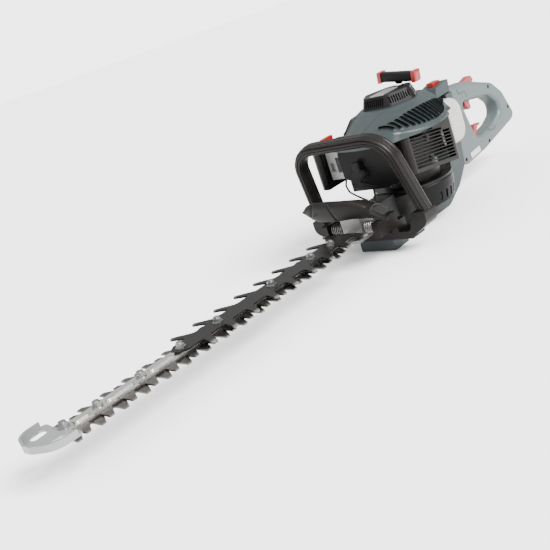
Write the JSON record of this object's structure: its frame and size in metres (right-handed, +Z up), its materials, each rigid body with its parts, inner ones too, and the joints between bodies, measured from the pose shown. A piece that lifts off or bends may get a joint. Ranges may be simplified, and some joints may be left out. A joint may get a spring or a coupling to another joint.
{
  "type": "hedge trimmer",
  "caption": "Two-stroke hedge trimmer with a long double-sided reciprocating blade, comb guard, front loop handle, swivelling rear handle and recoil starter.",
  "frame": {"origin": "where the vertical crank axis meets the plane that the bow frame stands on", "axes": "+X back along the blade towards the rear handle, +Y to the air filter side, +Z up along the crank axis"},
  "size_m": [1.1391, 0.223, 0.2504],
  "materials": {
    "steel": "bright ground steel",
    "zinc": "zinc plated steel",
    "gear_steel": "oiled machined steel",
    "black_comb": "black painted steel",
    "cast_aluminium": "sand blasted die casting",
    "iron": "dark casting",
    "black_plastic": "fine grained black moulding",
    "brown_black_plastic": "fine grained black-brown moulding",
    "teal_plastic": "satin dark grey-teal moulding",
    "red_plastic": "satin red moulding",
    "tank_plastic": "translucent natural blow moulding",
    "clear_tip": "bright pressed alloy",
    "badge": "plain silver badge",
    "rubber": "soft black rubber",
    "felt": "felt filter",
    "rope": "braided cord"
  },
  "bodies": {
    "engine_frame": {"guide_bar": "steel", "blunt_comb": "black_comb", "blade_bolts": "zinc", "lock_nuts": "zinc", "tip_guard": "clear_tip", "gear_case_base": "cast_aluminium", "gear_case_top": "cast_aluminium", "lower_housing": "black_plastic", "crankcase": "cast_aluminium", "cylinder": "cast_aluminium", "piston": "cast_aluminium", "connecting_rod": "gear_steel", "spark_plug": "zinc", "plug_boot": "rubber", "muffler": "gear_steel", "louvred_cover": "brown_black_plastic", "cover_screws": "zinc", "carburettor": "cast_aluminium", "filter_plate": "black_plastic", "filter_element": "felt", "filter_cover": "black_plastic", "fan_shroud": "teal_plastic", "cylinder_cover": "black_plastic", "ignition_coil": "black_plastic", "starter_cover": "black_plastic", "starter_badge": "badge", "reel_post": "zinc", "rewind_spring": "gear_steel", "fuel_tank": "tank_plastic", "bow_frame": "teal_plastic", "switch_block": "teal_plastic", "loop_handle": "brown_black_plastic", "loop_bracket": "brown_black_plastic", "bracket_bolts": "zinc", "hand_guard": "brown_black_plastic", "isolation_springs": "gear_steel", "control_cables": "rubber"},
    "upper_blade": {"upper_blade": "steel"},
    "lower_blade": {"lower_blade": "steel"},
    "drive_gear": {"drive_gear": "gear_steel"},
    "pinion": {"pinion_shaft": "gear_steel", "clutch_drum": "gear_steel"},
    "crank": {"crankshaft": "gear_steel", "clutch_shoes": "gear_steel", "flywheel_fan": "cast_aluminium"},
    "reel": {"starter_reel": "black_plastic", "starter_rope": "rope"},
    "pull_grip": {"starter_grip": "black_plastic", "grip_caps": "red_plastic"},
    "rear_handle": {"handle_shell_left": "teal_plastic", "handle_shell_right": "teal_plastic", "handle_screws": "zinc", "swivel_hub": "black_plastic"},
    "trigger": {"throttle_trigger": "red_plastic"},
    "throttle_lock": {"throttle_lock": "red_plastic"},
    "swivel_latch": {"swivel_latch": "red_plastic"},
    "stop_switch": {"stop_switch": "red_plastic"},
    "choke": {"choke_lever": "red_plastic"},
    "fuel_cap": {"fuel_cap": "black_plastic"},
    "primer": {"primer_bulb": "rubber"}
  },
  "joints": [
    {"name": "upper_blade_slide", "type": "slide", "parent": "engine_frame", "child": "upper_blade", "axis": [1, 0, 0], "range_m": [-0.0087, 0.0087]},
    {"name": "lower_blade_slide", "type": "slide", "parent": "engine_frame", "child": "lower_blade", "axis": [1, 0, 0], "range_m": [-0.0087, 0.0087]},
    {"name": "drive_gear_spin", "type": "hinge", "parent": "engine_frame", "child": "drive_gear", "pos_m": [-0.0451, 0, 0.05], "axis": [0, 0, 1], "continuous": true},
    {"name": "pinion_spin", "type": "hinge", "parent": "engine_frame", "child": "pinion", "pos_m": [0, 0, 0.06], "axis": [0, 0, 1], "continuous": true},
    {"name": "crank_spin", "type": "hinge", "parent": "engine_frame", "child": "crank", "pos_m": [0, 0, 0.12], "axis": [0, 0, 1], "continuous": true},
    {"name": "starter_pull", "type": "slide", "parent": "engine_frame", "child": "pull_grip", "axis": [0, 0, 1], "range_m": [0, 0.6]},
    {"name": "reel_spin", "type": "hinge", "parent": "engine_frame", "child": "reel", "pos_m": [0, 0, 0.2], "axis": [0, 0, 1], "range_deg": [-5, 1240]},
    {"name": "handle_swivel", "type": "hinge", "parent": "engine_frame", "child": "rear_handle", "pos_m": [0.14, 0, 0.112], "axis": [0.9903, 0, -0.1392], "range_deg": [-90, 90]},
    {"name": "throttle_squeeze", "type": "hinge", "parent": "rear_handle", "child": "trigger", "pos_m": [0.19957, 0, 0.1622], "axis": [0, -1, 0], "range_deg": [0, 14], "stiffness_Nm_per_rad": 0.3, "springref_deg": -5.73},
    {"name": "lock_press", "type": "hinge", "parent": "rear_handle", "child": "throttle_lock", "pos_m": [0.19686, 0, 0.17167], "axis": [0, 1, 0], "range_deg": [0, 6], "stiffness_Nm_per_rad": 0.3, "springref_deg": -5.73},
    {"name": "latch_press", "type": "hinge", "parent": "rear_handle", "child": "swivel_latch", "pos_m": [0.20968, 0, 0.06888], "axis": [0, 1, 0], "range_deg": [0, 10], "stiffness_Nm_per_rad": 0.3, "springref_deg": -5.73},
    {"name": "stop_switch_rock", "type": "hinge", "parent": "engine_frame", "child": "stop_switch", "pos_m": [0.13, 0, 0.19], "axis": [0, 1, 0], "range_deg": [0, 7]},
    {"name": "choke_turn", "type": "hinge", "parent": "engine_frame", "child": "choke", "pos_m": [-0.074, 0.09, 0.17], "axis": [0, 0, 1], "range_deg": [0, 60]},
    {"name": "fuel_cap_turn", "type": "hinge", "parent": "engine_frame", "child": "fuel_cap", "pos_m": [0.1, 0.055, 0.146], "axis": [0, 1, 0], "range_deg": [0, 360]},
    {"name": "primer_press", "type": "slide", "parent": "engine_frame", "child": "primer", "axis": [0, -1, 0], "range_m": [0, 0.0018], "stiffness_N_per_m": 400, "springref_m": -0.0005}
  ],
  "couplings": [
    {"joint": "lower_blade_slide", "follows": "upper_blade_slide", "ratio": -1},
    {"joint": "pinion_spin", "follows": "drive_gear_spin", "ratio": -4},
    {"joint": "reel_spin", "follows": "starter_pull", "rad_per_m": 35.714}
  ]
}
